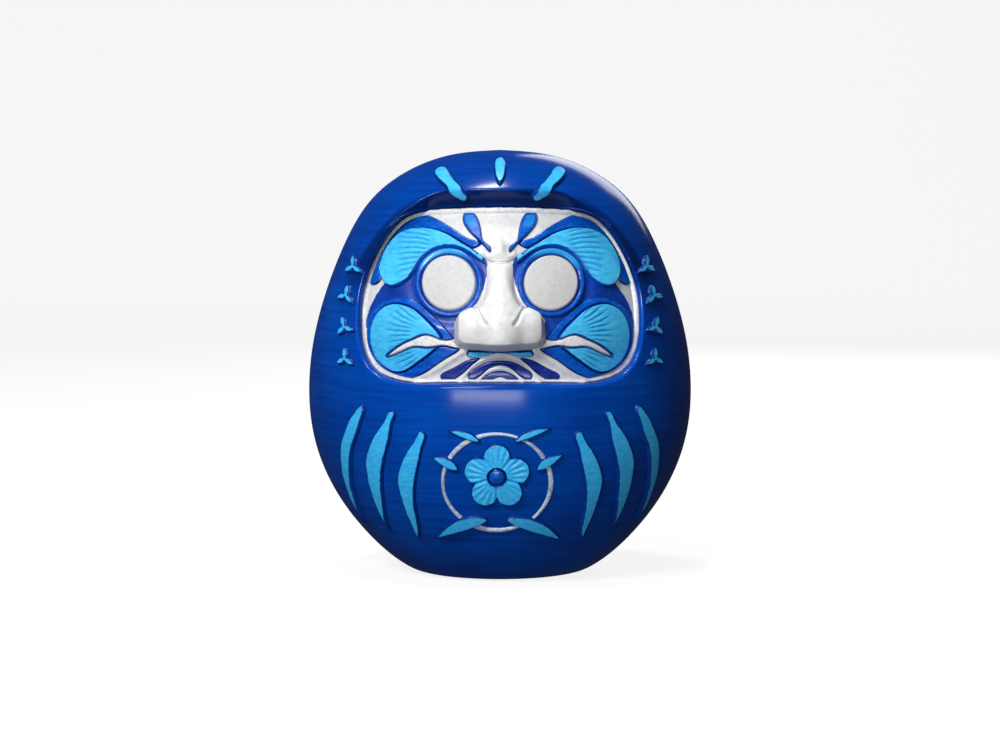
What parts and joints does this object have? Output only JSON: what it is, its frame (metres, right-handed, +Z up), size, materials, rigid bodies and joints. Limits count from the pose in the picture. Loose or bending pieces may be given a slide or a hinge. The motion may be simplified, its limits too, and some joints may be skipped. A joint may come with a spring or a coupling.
{
  "type": "daruma doll",
  "caption": "Egg-shaped wish doll with a hooded face window, blank round eyes, raised brush lines and a weighted flat foot.",
  "frame": {"origin": "middle of the flat base, on the surface the doll stands on", "axes": "+Z up to the crown, the face looks along -Y, +X is the doll's left hand"},
  "size_m": [0.1066, 0.1094, 0.1174],
  "materials": {
    "blue_lacquer": "satin",
    "light_blue_paint": "satin",
    "navy_paint": "gloss",
    "white_gofun": "satin",
    "silver_line": "satin",
    "kraft_paper": "matte",
    "clay": "matte",
    "board": "matte"
  },
  "bodies": {
    "root": {"back_shell": "blue_lacquer", "base_plate": "board", "base_weight": "clay", "brow_band_left": "navy_paint", "brow_band_right": "navy_paint", "brow_left": "light_blue_paint", "brow_right": "light_blue_paint", "cheek_band_left": "navy_paint", "cheek_band_right": "navy_paint", "cheek_left": "light_blue_paint", "cheek_right": "light_blue_paint", "crown_bar_centre": "light_blue_paint", "crown_bar_left": "light_blue_paint", "crown_bar_right": "light_blue_paint", "emblem_blossom": "light_blue_paint", "emblem_bud_left": "light_blue_paint", "emblem_bud_right": "light_blue_paint", "emblem_heart": "navy_paint", "emblem_leaf_left": "light_blue_paint", "emblem_leaf_right": "light_blue_paint", "emblem_ring": "silver_line", "emblem_twig_left": "light_blue_paint", "emblem_twig_right": "light_blue_paint", "eye_left": "white_gofun", "eye_right": "white_gofun", "eye_rim_left": "navy_paint", "eye_rim_right": "navy_paint", "face_panel": "white_gofun", "face_rim": "white_gofun", "forehead_curl_left": "navy_paint", "forehead_curl_right": "navy_paint", "forehead_fold": "white_gofun", "front_shell": "blue_lacquer", "moustache_left": "navy_paint", "moustache_right": "navy_paint", "mouth_arc_inner": "navy_paint", "mouth_arc_outer": "navy_paint", "nose": "white_gofun", "robe_fold_1_left": "light_blue_paint", "robe_fold_1_right": "light_blue_paint", "robe_fold_2_left": "light_blue_paint", "robe_fold_2_right": "light_blue_paint", "robe_fold_3_left": "light_blue_paint", "robe_fold_3_right": "light_blue_paint", "seam_tape": "kraft_paper", "side_sprig_1_left": "light_blue_paint", "side_sprig_1_right": "light_blue_paint", "side_sprig_2_left": "light_blue_paint", "side_sprig_2_right": "light_blue_paint", "side_sprig_3_left": "light_blue_paint", "side_sprig_3_right": "light_blue_paint", "side_sprig_4_left": "light_blue_paint", "side_sprig_4_right": "light_blue_paint", "upper_lip": "light_blue_paint", "whisker_left": "white_gofun", "whisker_right": "white_gofun"}
  },
  "joints": []
}
